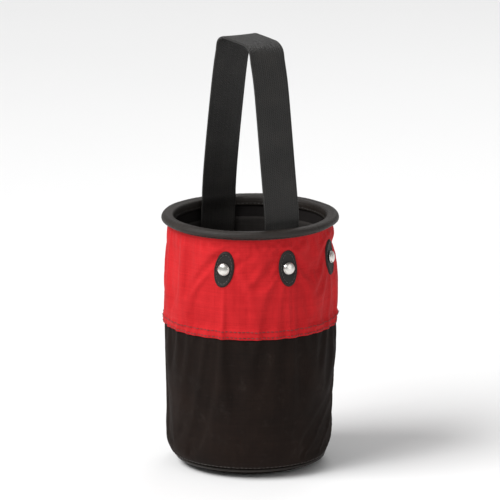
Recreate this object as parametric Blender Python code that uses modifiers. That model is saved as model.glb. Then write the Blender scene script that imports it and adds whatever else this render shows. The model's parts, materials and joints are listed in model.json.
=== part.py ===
"""A round fabric tool bucket with a stiffened wall, a sewn-in ring of pockets and a webbing handle.

The origin is at the centre of the flat base, +Z is up, -Y is the front, and the handle's ends are
at +X and -X.
Run it with: blender --background --python part.py
"""

import math

import bmesh
import bpy
from mathutils import Matrix, Vector

MM = 0.001
SEGMENTS = 32  # around the bucket: a vertex falls on every multiple of 45 degrees
GAP = 0.3 * MM  # between neighbouring pieces
MERGE_DISTANCE = 0.00001

# Outer skin of the wall, bottom to top: height and radius. Below the first point it turns under in an arc.
CORNER_RADIUS = 20 * MM
BASE_FLAT_RADIUS = 60 * MM
SHOULDER_HEIGHT = 222 * MM  # the wall runs in to the rim's radius here
WALL_OUTLINE = (
    (20 * MM, 80.0 * MM),
    (55 * MM, 80.0 * MM),
    (110 * MM, 83.5 * MM),
    (190 * MM, 83.6 * MM),
    (SHOULDER_HEIGHT, 80.2 * MM),
    (248 * MM, 80.0 * MM),
)
CORNER_HEIGHT = 12 * MM  # of the one point between the ends of that arc

# The wall's layers, as depths below the outer skin
OUTER_FABRIC = (0.0, 1.2 * MM)
STIFFENER = (1.5 * MM, 2.5 * MM)
LINER = (2.8 * MM, 3.6 * MM)
POCKET_BACKING = (3.9 * MM, 4.7 * MM)
ANCHOR_TAB = (5.0 * MM, 7.2 * MM)
BOTTOM_FABRIC = 1.4 * MM
STIFFENER_BOTTOM = 8 * MM
LINER_BOTTOM = 6 * MM

PIPING_ANGLE = math.radians(55)  # round the bottom corner, from straight down
PIPING_RADIUS = 1.7 * MM
PIPING_PROUD = 0.6 * MM  # its middle stands this far outside the skin
WALL_EDGE_TURN = math.radians(6.5)  # from the piping's middle to the lower wall's edge
BASE_EDGE_TURN = math.radians(6)  # and to the bottom panel's edge
BASE_ARC_STEPS = 4
CORD_SIDES = 8  # of the piping and of the hoop
BAND_BOTTOM = 145 * MM  # where the coloured upper band starts
WALL_TOP = 247.5 * MM
SEAM_SLIT = 3 * MM  # between the ends of the rolled stiffener
SEAM_TAPE_WIDTH = 22 * MM
SEAM_TAPE_THICKNESS = 1 * MM
SEAM_TAPE_BOTTOM = 16 * MM

# The rim: a round hoop outside the top of the wall, under a folded binding
RIM_TOP = 250 * MM
RIM_OUTER_RADIUS = 87 * MM
RIM_INNER_RADIUS = 74.5 * MM
RIM_LIP = 238.5 * MM
BINDING_THICKNESS = 1.2 * MM
RIM_ROUNDING = {"top_inner": 3.5 * MM, "top_outer": 5.5 * MM, "low_outer": 4.5 * MM}
FOLD_ROUNDING = {"top_inner": 1.5 * MM, "top_outer": 4 * MM, "low_outer": 2.5 * MM}  # inside the binding
HOOP_WIRE_RADIUS = 2.2 * MM
HOOP_RADIUS = 82.9 * MM
HOOP_HEIGHT = 244.2 * MM

BOARD_RADIUS = 62.5 * MM
BOARD_THICKNESS = 2 * MM
BASE_LINER_RADIUS = 68 * MM
BASE_LINER_THICKNESS = 0.8 * MM

# The ring of pockets inside the wall
POCKET_COUNT = 8
POCKET_ROWS = (24 * MM, 55 * MM, 110 * MM, 145 * MM, 180 * MM)  # bottom to mouth, with the wall's bends
POCKET_BOTTOM = POCKET_ROWS[0]
POCKET_MOUTH = POCKET_ROWS[-1]
POCKET_HEM = 4 * MM  # of backing below the pockets
POCKET_DEPTH = 9 * MM
POCKET_BAND_TOP = 228 * MM
POCKET_FABRIC = 0.6 * MM
POCKET_FULLNESS = 0.7  # below 1, the pockets stay full close to their seams
POCKET_EDGE_RADIUS = 1.3 * MM

# Rivets through the wall: two hold the handle's tabs and four hold the top of the pocket ring
RIVET_HEIGHT = 211 * MM
RIVET_ANGLES = {
    "right": 0,
    "left": 180,
    "front_right": -45,
    "front_left": -135,
    "back_right": 45,
    "back_left": 135,
}
ANCHORS = ("right", "left")
SHANK_RADIUS = 2.5 * MM
HOLE_RADIUS = 2.8 * MM
HOLE_DEPTH = 40 * MM  # of the cutters, through every layer
HEAD_RADIUS = 6 * MM
HEAD_HEIGHT = 3 * MM
CAP_RADIUS = 4.8 * MM
CAP_HEIGHT = 1.8 * MM
CAP_GAP = 0.8 * MM  # the wall curves in towards a flat cap, so it stands off further
PATCH_HALF_WIDTH = 10 * MM
PATCH_HALF_HEIGHT = 18 * MM
PATCH_THICKNESS = 1.2 * MM
PATCH_STEPS = 24
RIVET_STEPS = 12
HEAD_SHAPE = ((0.45, 0.88), (0.8, 0.55), (1.0, 0.15))  # shares of its radius and height, from its crown
CAP_SHAPE = ((1.0, 0.4), (0.6, 1.0))
LEAN_REACH = 10 * MM  # the wall's slope at a rivet is taken over this much each way

# The webbing handle and the axis that it swings about
STRAP_WIDTH = 38 * MM
STRAP_THICKNESS = 2.4 * MM
STRAP_END_HEIGHT = 243 * MM
STRAP_HALF_SPAN = 67.8 * MM  # at the hinge, to the middle of the webbing
STRAP_TOP_HALF_SPAN = 32.8 * MM
STRAP_TOP = 424 * MM
STRAP_TOP_BEND = 15 * MM
STRAP_FOLD_BEND = 30 * MM
STRAP_BEND_STEPS = 6
HINGE_HEIGHT = RIM_TOP + 3 * MM
TAB_BOTTOM = 190 * MM
TAB_BEND_HEIGHT = RIM_LIP - 2 * MM
TAB_TOP_OUTER_RADIUS = RIM_INNER_RADIUS - GAP
TAB_THICKNESS = ANCHOR_TAB[1] - ANCHOR_TAB[0]

FAR = 120 * MM  # longer than any distance a cutter has to reach


def clear_scene():
    for item in list(bpy.data.objects):
        bpy.data.objects.remove(item, do_unlink=True)


def make_collection(name):
    collection = bpy.data.collections.new(name)
    bpy.context.scene.collection.children.link(collection)
    return collection


def make_material(name, colour, roughness, metallic=0.0):
    material = bpy.data.materials.new(name)
    material.use_nodes = True
    shader = material.node_tree.nodes["Principled BSDF"]
    shader.inputs["Base Color"].default_value = (*colour, 1.0)
    shader.inputs["Roughness"].default_value = roughness
    shader.inputs["Metallic"].default_value = metallic
    return material


def add_object(name, data, material, collection):
    item = bpy.data.objects.new(name, data)
    if material:
        data.materials.append(material)
    collection.objects.link(item)
    return item


def add_cutter(name, bm, collection):
    """Turn a bmesh of closed bodies into a hidden cutter."""
    bmesh.ops.recalc_face_normals(bm, faces=bm.faces)
    mesh = bpy.data.meshes.new(name)
    bm.to_mesh(mesh)
    bm.free()
    cutter = add_object(name, mesh, None, collection)
    cutter.hide_render = True
    cutter.display_type = "WIRE"
    return cutter


def boolean(item, cutter, operation):
    modifier = item.modifiers.new(cutter.name, "BOOLEAN")
    modifier.operation = operation
    modifier.object = cutter


def skin_radius(height, depth):
    """Radius of the surface this deep below the outer skin, at this height."""
    if height < CORNER_RADIUS:
        arc = CORNER_RADIUS - depth
        return BASE_FLAT_RADIUS + math.sqrt(arc**2 - (CORNER_RADIUS - height) ** 2)
    for (low, low_radius), (high, high_radius) in zip(WALL_OUTLINE, WALL_OUTLINE[1:]):
        if height <= high:
            share = (height - low) / (high - low)
            return low_radius + share * (high_radius - low_radius) - depth
    return WALL_OUTLINE[-1][1] - depth


def heights_between(low, high):
    """The wall's heights from low to high, both ends included."""
    inner = [z for z in [CORNER_HEIGHT, *(z for z, _ in WALL_OUTLINE)] if low < z < high]
    return [low, *inner, high]


def layer_profile(layer, low, high):
    """Closed outline of a wall layer: down its outer side and up its inner side."""
    heights = heights_between(low, high)
    outer = [(skin_radius(z, layer[0]), z) for z in reversed(heights)]
    inner = [(skin_radius(z, layer[1]), z) for z in heights]
    return outer + inner


def rounded(corners, steps=2):
    """Points of an outline whose corners, each (x, z, radius), are replaced by arcs."""
    points = []
    for index, (x, z, radius) in enumerate(corners):
        if radius == 0:
            points.append((x, z))
            continue
        here = Vector((x, z))
        before = (Vector(corners[index - 1][:2]) - here).normalized()
        after = (Vector(corners[(index + 1) % len(corners)][:2]) - here).normalized()
        half_angle = before.angle(after) / 2
        centre = here + (before + after).normalized() * radius / math.sin(half_angle)
        start = here + before * radius / math.tan(half_angle) - centre
        turn = math.pi - 2 * half_angle
        if start.x * before.y - start.y * before.x > 0:
            turn = -turn
        for step in range(steps + 1):
            points.append(tuple(centre + Matrix.Rotation(turn * step / steps, 2) @ start))
    return points


def turned(name, profile, material, collection, closed=True, steps=SEGMENTS):
    """Turn an outline about Z: a closed one gives a ring, an open one starts and ends on the axis."""
    count = len(profile)
    edges = [(i, (i + 1) % count) for i in range(count if closed else count - 1)]
    mesh = bpy.data.meshes.new(name)
    mesh.from_pydata([(x, 0, z) for x, z in profile], edges, [])
    item = add_object(name, mesh, material, collection)
    screw = item.modifiers.new("turn", "SCREW")
    screw.steps = steps
    screw.render_steps = steps
    screw.use_merge_vertices = True
    screw.merge_threshold = MERGE_DISTANCE
    screw.use_smooth_shade = True
    return item


def disc_profile(radius, low, high):
    return [(0, high), (radius, high), (radius, low), (0, low)]


def box_cutter(name, low, high, collection):
    bm = bmesh.new()
    size = Vector(high) - Vector(low)
    centre = (Vector(high) + Vector(low)) / 2
    bmesh.ops.create_cube(bm, size=1, matrix=Matrix.Translation(centre) @ Matrix.Diagonal((*size, 1)))
    return add_cutter(name, bm, collection)


def rivet_frame(angle):
    """Frame at the outer skin whose +Z is the wall's outward normal and whose +Y leans up the wall."""
    below, above = RIVET_HEIGHT - LEAN_REACH, RIVET_HEIGHT + LEAN_REACH
    lean = math.atan2(skin_radius(below, 0) - skin_radius(above, 0), above - below)
    place = Matrix.Translation((skin_radius(RIVET_HEIGHT, 0), 0, RIVET_HEIGHT))
    face_out = Matrix.Rotation(math.radians(90) - lean, 4, "Y") @ Matrix.Rotation(math.radians(90), 4, "Z")
    return Matrix.Rotation(math.radians(angle), 4, "Z") @ place @ face_out


def rivet_hole_cutter(collection):
    bm = bmesh.new()
    for angle in RIVET_ANGLES.values():
        bmesh.ops.create_cone(
            bm,
            cap_ends=True,
            segments=RIVET_STEPS,
            radius1=HOLE_RADIUS,
            radius2=HOLE_RADIUS,
            depth=HOLE_DEPTH,
            matrix=rivet_frame(angle),
        )
    return add_cutter("rivet_holes", bm, collection)


def build_wall(fabric, parts, cutters, holes):
    wall_bottom = CORNER_RADIUS * (1 - math.cos(PIPING_ANGLE + WALL_EDGE_TURN))
    turned(
        "lower_wall_panel",
        layer_profile(OUTER_FABRIC, wall_bottom, BAND_BOTTOM - GAP),
        fabric["body"],
        parts,
    )
    cloth = layer_profile(OUTER_FABRIC, BAND_BOTTOM, WALL_TOP)
    band = turned("upper_band_panel", cloth, fabric["band"], parts)
    boolean(band, holes, "DIFFERENCE")
    sheet = layer_profile(STIFFENER, STIFFENER_BOTTOM, WALL_TOP)
    stiffener = turned("wall_stiffener", sheet, fabric["sheet"], parts)
    boolean(stiffener, holes, "DIFFERENCE")
    slit = box_cutter("stiffener_slit", (-SEAM_SLIT / 2, 0, -FAR), (SEAM_SLIT / 2, FAR, 3 * FAR), cutters)
    boolean(stiffener, slit, "DIFFERENCE")
    liner = turned("inner_liner", layer_profile(LINER, LINER_BOTTOM, WALL_TOP), fabric["lining"], parts)
    boolean(liner, holes, "DIFFERENCE")


def build_seam_tape(fabric, parts, cutters):
    """A strip of tape over the closing seam, up the back of the wall."""
    layer = (-GAP - SEAM_TAPE_THICKNESS, -GAP)
    profile = layer_profile(layer, SEAM_TAPE_BOTTOM, RIM_LIP - GAP)
    tape = turned("back_seam_tape", profile, fabric["trim"], parts)
    half = SEAM_TAPE_WIDTH / 2
    strip = box_cutter("tape_strip", (-half, 0, -FAR), (half, FAR, 3 * FAR), cutters)
    boolean(tape, strip, "INTERSECT")


def build_rim(fabric, metal, parts):
    inside = BINDING_THICKNESS
    lip_radius = skin_radius(RIM_LIP, 0) + GAP
    inner, outer, low, top = RIM_INNER_RADIUS, RIM_OUTER_RADIUS, RIM_LIP, RIM_TOP
    binding = rounded(
        [
            (inner, top, RIM_ROUNDING["top_inner"]),
            (outer, top, RIM_ROUNDING["top_outer"]),
            (outer, low, RIM_ROUNDING["low_outer"]),
            (lip_radius, low, 0),
            (lip_radius, low + inside, 0),
            (outer - inside, low + inside, FOLD_ROUNDING["low_outer"]),
            (outer - inside, top - inside, FOLD_ROUNDING["top_outer"]),
            (inner + inside, top - inside, FOLD_ROUNDING["top_inner"]),
            (inner + inside, low, 0),
            (inner, low, 0),
        ]
    )
    turned("rim_binding", binding, fabric["trim"], parts)
    bpy.ops.mesh.primitive_torus_add(
        major_segments=SEGMENTS,
        minor_segments=CORD_SIDES,
        major_radius=HOOP_RADIUS,
        minor_radius=HOOP_WIRE_RADIUS,
        location=(0, 0, HOOP_HEIGHT),
    )
    adopt("rim_hoop", metal["wire"], parts)


def adopt(name, material, parts):
    """Name the object that a primitive operator just made, and move it to the parts."""
    item = bpy.context.object
    item.name = name
    item.data.materials.append(material)
    item.data.shade_smooth()
    for collection in list(item.users_collection):
        collection.objects.unlink(item)
    parts.objects.link(item)
    return item


def build_base(fabric, parts):
    """The bottom cup of fabric, the piping round its seam, and the board and lining on it."""
    last = PIPING_ANGLE - BASE_EDGE_TURN
    turns = [last * step / BASE_ARC_STEPS for step in range(BASE_ARC_STEPS + 1)]

    def on_arc(radius, angle):
        return (BASE_FLAT_RADIUS + radius * math.sin(angle), CORNER_RADIUS - radius * math.cos(angle))

    inner = [on_arc(CORNER_RADIUS - BOTTOM_FABRIC, a) for a in turns]
    outer = [on_arc(CORNER_RADIUS, a) for a in reversed(turns)]
    turned("bottom_panel", [(0, BOTTOM_FABRIC), *inner, *outer, (0, 0)], fabric["body"], parts, closed=False)
    radius, height = on_arc(CORNER_RADIUS + PIPING_PROUD, PIPING_ANGLE)
    bpy.ops.mesh.primitive_torus_add(
        major_segments=SEGMENTS,
        minor_segments=CORD_SIDES,
        major_radius=radius,
        minor_radius=PIPING_RADIUS,
        location=(0, 0, height),
    )
    adopt("bottom_piping", fabric["trim"], parts)
    board_low = BOTTOM_FABRIC + GAP
    board_top = board_low + BOARD_THICKNESS
    board = disc_profile(BOARD_RADIUS, board_low, board_top)
    turned("base_board", board, fabric["sheet"], parts, closed=False)
    liner_low = board_top + GAP
    turned(
        "base_liner",
        disc_profile(BASE_LINER_RADIUS, liner_low, liner_low + BASE_LINER_THICKNESS),
        fabric["lining"],
        parts,
        closed=False,
    )


def pocket_front_radius(angle, height):
    """Middle of the pockets' front sheet, which meets the backing at the seams and at the bottom."""
    rise = (height - POCKET_BOTTOM) / (POCKET_MOUTH - POCKET_BOTTOM)
    billow = abs(math.sin(angle * POCKET_COUNT / 2)) ** POCKET_FULLNESS
    backing = skin_radius(height, sum(POCKET_BACKING) / 2)
    return backing - POCKET_DEPTH * billow * math.sqrt(rise)


def build_pockets(fabric, parts, cutters, holes):
    bm = bmesh.new()
    steps = len(POCKET_ROWS) - 1
    bmesh.ops.create_grid(bm, x_segments=SEGMENTS, y_segments=steps, size=0.5)
    for vertex in bm.verts:
        angle = 2 * math.pi * (vertex.co.x + 0.5)
        height = POCKET_ROWS[round((vertex.co.y + 0.5) * steps)]
        radius = pocket_front_radius(angle, height)
        vertex.co = (radius * math.cos(angle), radius * math.sin(angle), height)
    bmesh.ops.remove_doubles(bm, verts=bm.verts, dist=MERGE_DISTANCE)
    bmesh.ops.recalc_face_normals(bm, faces=bm.faces)
    mesh = bpy.data.meshes.new("pocket_fronts")
    bm.to_mesh(mesh)
    bm.free()
    fronts = add_object("pocket_fronts", mesh, None, cutters)
    fronts.hide_render = True
    fronts.display_type = "WIRE"
    sheet = fronts.modifiers.new("sheet", "SOLIDIFY")
    sheet.thickness = POCKET_FABRIC
    sheet.offset = 0

    ring = turned(
        "pocket_ring",
        layer_profile(POCKET_BACKING, POCKET_BOTTOM - POCKET_HEM, POCKET_BAND_TOP),
        fabric["pockets"],
        parts,
    )
    boolean(ring, fronts, "UNION")
    boolean(ring, holes, "DIFFERENCE")


def build_pocket_binding(fabric, parts):
    """Edge tape over the mouths of the pockets, as a round cord that follows them."""
    height = POCKET_MOUTH + POCKET_EDGE_RADIUS + GAP
    limit = skin_radius(height, POCKET_BACKING[1]) - POCKET_EDGE_RADIUS - 2 * GAP
    curve = bpy.data.curves.new("pocket_binding", "CURVE")
    curve.dimensions = "3D"
    curve.bevel_depth = POCKET_EDGE_RADIUS
    curve.bevel_resolution = 1
    curve.resolution_u = 1
    spline = curve.splines.new("POLY")
    count = 2 * SEGMENTS
    spline.points.add(count - 1)
    for index, point in enumerate(spline.points):
        angle = 2 * math.pi * index / count
        radius = min(limit, pocket_front_radius(angle, POCKET_MOUTH))
        point.co = (radius * math.cos(angle), radius * math.sin(angle), height, 1)
    spline.use_cyclic_u = True
    add_object("pocket_binding", curve, fabric["trim"], parts)


def build_patch(tag, angle, fabric, parts, cutters, holes):
    """A sewn oval of webbing that spreads a rivet's load over the outside of the wall."""
    layer = (-GAP - PATCH_THICKNESS, -GAP)
    low, high = RIVET_HEIGHT - PATCH_HALF_HEIGHT - GAP, RIVET_HEIGHT + PATCH_HALF_HEIGHT + GAP
    patch = turned(f"rivet_patch_{tag}", layer_profile(layer, low, high), fabric["trim"], parts)
    bm = bmesh.new()
    oval = Matrix.Diagonal((PATCH_HALF_WIDTH, PATCH_HALF_HEIGHT, 1, 1))
    bmesh.ops.create_cone(
        bm,
        cap_ends=True,
        segments=PATCH_STEPS,
        radius1=1,
        radius2=1,
        depth=HOLE_DEPTH,
        matrix=rivet_frame(angle) @ oval,
    )
    boolean(patch, add_cutter(f"patch_oval_{tag}", bm, cutters), "INTERSECT")
    boolean(patch, holes, "DIFFERENCE")


def build_rivet(tag, angle, metal, parts):
    """A domed rivet: head outside the patch, shank through the wall, flat cap inside."""
    stack = ANCHOR_TAB[1] if tag in ANCHORS else POCKET_BACKING[1]
    under_head = PATCH_THICKNESS + 2 * GAP
    cap = -stack - CAP_GAP
    head = [(HEAD_RADIUS * r, under_head + HEAD_HEIGHT * z) for r, z in HEAD_SHAPE]
    tail = [(CAP_RADIUS * r, cap - CAP_HEIGHT * z) for r, z in CAP_SHAPE]
    profile = [
        (0, under_head + HEAD_HEIGHT),
        *head,
        (HEAD_RADIUS, under_head),
        (SHANK_RADIUS, under_head),
        (SHANK_RADIUS, cap),
        (CAP_RADIUS, cap),
        *tail,
        (0, cap - CAP_HEIGHT),
    ]
    rivet = turned(f"rivet_{tag}", profile, metal["rivet"], parts, closed=False, steps=RIVET_STEPS)
    rivet.matrix_world = rivet_frame(angle)


def build_anchor_tab(tag, side, fabric, parts, cutters, holes):
    """A tab of webbing riveted inside the wall, which the handle is sewn to at the rim."""
    heights = [TAB_BOTTOM, SHOULDER_HEIGHT, TAB_BEND_HEIGHT, RIM_TOP - GAP]
    outer = [skin_radius(z, ANCHOR_TAB[0]) for z in heights[:2]] + [TAB_TOP_OUTER_RADIUS] * 2
    down = list(zip(reversed(outer), reversed(heights)))
    up = [(radius - TAB_THICKNESS, z) for radius, z in zip(outer, heights)]
    tab = turned(f"anchor_tab_{tag}", down + up, fabric["webbing"], parts)
    half = STRAP_WIDTH / 2
    low, high = sorted((0, side * FAR))
    strip = box_cutter(f"tab_strip_{tag}", (low, -half, -FAR), (high, half, 3 * FAR), cutters)
    boolean(tab, strip, "INTERSECT")
    boolean(tab, holes, "DIFFERENCE")


def strap_line():
    """The middle of the webbing from one end to the other, as (x, z), with its bends as arcs."""
    top = STRAP_TOP - STRAP_THICKNESS / 2
    half = [
        (STRAP_HALF_SPAN, STRAP_END_HEIGHT, 0),
        (STRAP_HALF_SPAN, HINGE_HEIGHT, STRAP_FOLD_BEND),
        (STRAP_TOP_HALF_SPAN, top, STRAP_TOP_BEND),
    ]
    other = [(-x, z, radius) for x, z, radius in reversed(half)]
    return rounded(half + other, steps=STRAP_BEND_STEPS)


def build_handle(fabric, parts):
    line = [Vector(point) for point in strap_line()]
    outer, inner = [], []
    for index, point in enumerate(line):
        before = line[max(index - 1, 0)]
        after = line[min(index + 1, len(line) - 1)]
        along = (after - before).normalized()
        across = Vector((along.y, -along.x)) * STRAP_THICKNESS / 2
        outer.append(point + across)
        inner.append(point - across)
    outline = outer + inner[::-1]
    curve = bpy.data.curves.new("handle_strap", "CURVE")
    curve.dimensions = "2D"
    curve.fill_mode = "BOTH"
    curve.extrude = STRAP_WIDTH / 2
    spline = curve.splines.new("POLY")
    spline.points.add(len(outline) - 1)
    for point, (x, z) in zip(spline.points, outline):
        point.co = (x, z - HINGE_HEIGHT, 0, 1)
    spline.use_cyclic_u = True
    strap = add_object("handle_strap", curve, fabric["webbing"], parts)
    hinge = bpy.data.objects.new("handle_hinge", None)
    hinge.location = (0, 0, HINGE_HEIGHT)
    parts.objects.link(hinge)
    strap.parent = hinge
    strap.rotation_euler = (math.radians(90), 0, 0)


def main():
    clear_scene()
    parts = make_collection("tool_bucket_organizer")
    cutters = make_collection("cutters")
    fabric = {
        "body": make_material("charcoal_canvas", (0.028, 0.022, 0.020), 0.85),
        "band": make_material("red_canvas", (0.72, 0.045, 0.05), 0.75),
        "trim": make_material("black_binding", (0.022, 0.019, 0.017), 0.7),
        "webbing": make_material("black_webbing", (0.016, 0.015, 0.014), 0.75),
        "lining": make_material("black_lining", (0.012, 0.010, 0.010), 0.8),
        "pockets": make_material("black_pocket_cloth", (0.018, 0.016, 0.016), 0.8),
        "sheet": make_material("stiffener_sheet", (0.05, 0.05, 0.05), 0.5),
    }
    metal = {
        "wire": make_material("hoop_wire", (0.35, 0.35, 0.35), 0.4, 1.0),
        "rivet": make_material("nickel", (0.75, 0.73, 0.70), 0.25, 1.0),
    }
    holes = rivet_hole_cutter(cutters)
    build_wall(fabric, parts, cutters, holes)
    build_seam_tape(fabric, parts, cutters)
    build_rim(fabric, metal, parts)
    build_base(fabric, parts)
    build_pockets(fabric, parts, cutters, holes)
    build_pocket_binding(fabric, parts)
    for tag, angle in RIVET_ANGLES.items():
        build_patch(tag, angle, fabric, parts, cutters, holes)
        build_rivet(tag, angle, metal, parts)
    for tag, side in zip(ANCHORS, (1, -1)):
        build_anchor_tab(tag, side, fabric, parts, cutters, holes)
    build_handle(fabric, parts)


main()
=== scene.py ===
"""Looks for a round fabric tool bucket: cloth wall, bound rim, pockets, rivets and a webbing handle.

Sizes come from the CAD frame, or are cloth thicknesses and small offsets. Metres, +Z up, -Y the front.
"""

import json
import math
from functools import partialmethod

import bmesh
import bpy
import numpy as np
from mathutils import Matrix, Vector


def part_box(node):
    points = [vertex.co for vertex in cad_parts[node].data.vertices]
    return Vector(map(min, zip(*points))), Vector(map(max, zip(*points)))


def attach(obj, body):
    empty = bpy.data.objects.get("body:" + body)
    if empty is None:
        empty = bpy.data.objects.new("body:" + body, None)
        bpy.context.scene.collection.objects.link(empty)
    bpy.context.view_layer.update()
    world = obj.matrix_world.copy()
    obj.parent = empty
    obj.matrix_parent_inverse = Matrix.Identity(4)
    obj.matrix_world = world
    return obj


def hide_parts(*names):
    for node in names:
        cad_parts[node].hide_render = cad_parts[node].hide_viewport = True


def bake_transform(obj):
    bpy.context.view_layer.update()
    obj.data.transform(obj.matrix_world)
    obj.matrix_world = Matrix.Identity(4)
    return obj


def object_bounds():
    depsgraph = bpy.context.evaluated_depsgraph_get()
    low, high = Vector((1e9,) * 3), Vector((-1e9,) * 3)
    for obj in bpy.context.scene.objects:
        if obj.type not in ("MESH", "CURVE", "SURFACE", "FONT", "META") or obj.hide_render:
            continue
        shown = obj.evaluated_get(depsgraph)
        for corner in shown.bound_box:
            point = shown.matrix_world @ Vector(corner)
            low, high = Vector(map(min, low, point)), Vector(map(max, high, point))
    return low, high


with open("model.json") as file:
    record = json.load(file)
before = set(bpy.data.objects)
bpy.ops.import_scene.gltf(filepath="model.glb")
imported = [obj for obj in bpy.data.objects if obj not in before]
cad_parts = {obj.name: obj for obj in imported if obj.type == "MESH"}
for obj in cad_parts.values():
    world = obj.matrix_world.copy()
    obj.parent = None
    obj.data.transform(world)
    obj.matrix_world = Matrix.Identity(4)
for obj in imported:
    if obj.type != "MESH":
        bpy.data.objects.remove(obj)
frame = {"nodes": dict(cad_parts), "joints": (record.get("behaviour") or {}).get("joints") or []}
cad_low, cad_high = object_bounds()
scene = bpy.context.scene

MM = 0.001
TAU = 2 * math.pi


# ---- the CAD frame

OUTLINE_AZIMUTH = 22.5  # degrees: no hole or seam cuts the wall's CAD nodes here
CORNER = 28 * MM  # of the wall's turn into the base: rounder than the CAD's 20 mm, as in the photo
OUTLINE_STEP = 1 * MM
OUTLINE_BLUR = 6.0  # how far its corners are rounded, in steps
BLUR_REACH = 18


def wall_outline():
    """Heights and outer radii of the wall's CAD nodes."""
    found = {}
    for node in ("lower_wall_panel", "upper_band_panel"):
        for vertex in frame["nodes"][node].data.vertices:
            x, y, z = vertex.co
            if abs(math.degrees(math.atan2(y, x)) - OUTLINE_AZIMUTH) < 0.5:
                key = round(z, 5)
                found[key] = max(found.get(key, 0), math.hypot(x, y))
    heights = np.array(sorted(found))
    return heights, np.array([found[z] for z in heights])


outline_z, outline_r = wall_outline()
smooth_z = np.arange(CORNER, outline_z[-1] + OUTLINE_STEP / 2, OUTLINE_STEP)
padded = np.pad(np.interp(smooth_z, outline_z, outline_r), BLUR_REACH, mode="edge")
bell = np.exp(-0.5 * (np.arange(-BLUR_REACH, BLUR_REACH + 1) / OUTLINE_BLUR) ** 2)
smooth_r = np.convolve(padded, bell / bell.sum(), mode="valid")
BASE_FLAT = smooth_r[0] - CORNER

rim_low, rim_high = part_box("rim_binding")
RIM_TOP, RIM_LIP, RIM_RADIUS = rim_high.z, rim_low.z, rim_high.x
SEAM_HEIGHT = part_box("upper_band_panel")[0].z
HEM = SEAM_HEIGHT - 3 * MM  # the band's lower edge laps over the lower wall
PIPING_HEIGHT = sum(c.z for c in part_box("bottom_piping")) / 2
PIPING_ANGLE = math.acos(1 - PIPING_HEIGHT / CORNER)  # where the welt sits on the corner, from straight down
RIVET_HEIGHT = sum(c.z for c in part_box("rivet_right")) / 2
strap_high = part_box("handle_strap")[1]
STRAP_HALF = strap_high.y  # of its width
HINGE = next(j for j in frame["joints"] if j["name"] == "handle_swing")["pos_m"]
TAB_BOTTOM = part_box("anchor_tab_right")[0].z
POCKET_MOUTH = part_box("pocket_binding")[0].z
POCKET_FLOOR, POCKET_TOP = (c.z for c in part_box("pocket_ring"))

# Thicknesses of the layers.
CLOTH = 1.2 * MM
LINING = 0.8 * MM
POCKET = 0.8 * MM
RIM_TAPE = 1.0 * MM
BACK_TAPE = 0.6 * MM
POCKET_TAPE = 0.5 * MM
PATCH = 1.0 * MM
STIFFENER = 0.4 * MM

# How deep the hidden layers lie under the wall's skin.
FORM_DEPTH = 1.2 * MM
STIFFENER_DEPTH = 2.3 * MM
LINING_DEPTH = 2.85 * MM
BACKING_DEPTH = 3.9 * MM


def polar(r, theta, z):
    """Points from radii, angles about Z and heights."""
    return np.stack(np.broadcast_arrays(r * np.cos(theta), r * np.sin(theta), z), -1)


def wall_radius(z):
    """Radius of the wall's outer skin at a height at or above the corner."""
    return np.interp(z, smooth_z, smooth_r)


def wall_slope(z):
    """How fast the wall's radius grows with height, and the length that makes (1, -slope) a unit normal."""
    slope = (wall_radius(z + 1 * MM) - wall_radius(z - 1 * MM)) / (2 * MM)
    return slope, np.sqrt(1 + slope**2)


def wall_point(theta, z, out=0.0):
    """Points on the wall's skin, moved outward along its normal."""
    slope, length = wall_slope(z)
    return polar(wall_radius(z) + out / length, theta, z - out * slope / length)


def wall_normal(theta, z):
    slope, length = wall_slope(z)
    return polar(1, theta, -slope) / length[..., None]


def wall_skin(theta, z, out=0.0):
    """wall_point, carried on round the corner into the base."""
    turn = np.arccos(np.clip(1 - np.minimum(z, CORNER) / CORNER, -1, 1))
    corner = polar(BASE_FLAT + (CORNER + out) * np.sin(turn), theta, CORNER - (CORNER + out) * np.cos(turn))
    return np.where((z < CORNER)[..., None], corner, wall_point(theta, np.maximum(z, CORNER), out))


def inside_radius(z, depth):
    """Radius of a layer inside the wall, at its depth under the skin, down to where it meets the base."""
    arc = BASE_FLAT + np.sqrt(np.clip((CORNER - depth) ** 2 - (CORNER - np.minimum(z, CORNER)) ** 2, 0, None))
    return np.where(z < CORNER, arc, wall_radius(np.maximum(z, CORNER)) - depth)


def wall_heights(low, high, in_corner=18, above=60):
    """Heights of a wall grid's rows, closer together in the corner."""
    return np.concatenate([np.linspace(low, CORNER, in_corner)[:-1], np.linspace(CORNER, high, above)])


# ---- smooth random relief

def ripples(theta, z, seed, count, around, upward):
    """A sum of waves that closes round the bucket: about -1 to 1. around: waves per turn, upward: per metre."""
    draw = np.random.default_rng(seed)
    total = np.zeros(np.broadcast(theta, z).shape)
    for _ in range(count):
        k = draw.integers(around[0], around[1] + 1)
        m = draw.uniform(-upward, upward) * TAU
        total += draw.uniform(0.4, 1.0) * np.cos(k * theta + m * z + draw.uniform(0, TAU))
    return total / math.sqrt(count)


def ramp(x, low, high):
    """A smooth step from 0 at low to 1 at high."""
    t = np.clip((x - low) / (high - low), 0, 1)
    return t * t * (3 - 2 * t)


# ---- mesh helpers

AROUND = 288  # columns in a grid that goes round the bucket


def turn_steps(count):
    """Even steps round a full turn, without its end."""
    return np.linspace(0, TAU, count, endpoint=False)


ROUND = turn_steps(AROUND)[None, :]  # the angles of their columns, as a row


def path_length(points):
    """Distance along a polyline at each of its points."""
    return np.concatenate([[0], np.cumsum(np.linalg.norm(np.diff(points, axis=0), axis=1))])


def path_tangent(points):
    """Unit tangent of a polyline at each of its points."""
    tangent = np.gradient(points, axis=0)
    return tangent / np.linalg.norm(tangent, axis=1)[:, None]


def read_along(marks, length, values):
    """Values given along a polyline, read at other distances."""
    return np.stack([np.interp(marks, length, values[:, axis]) for axis in range(3)], -1)


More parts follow.
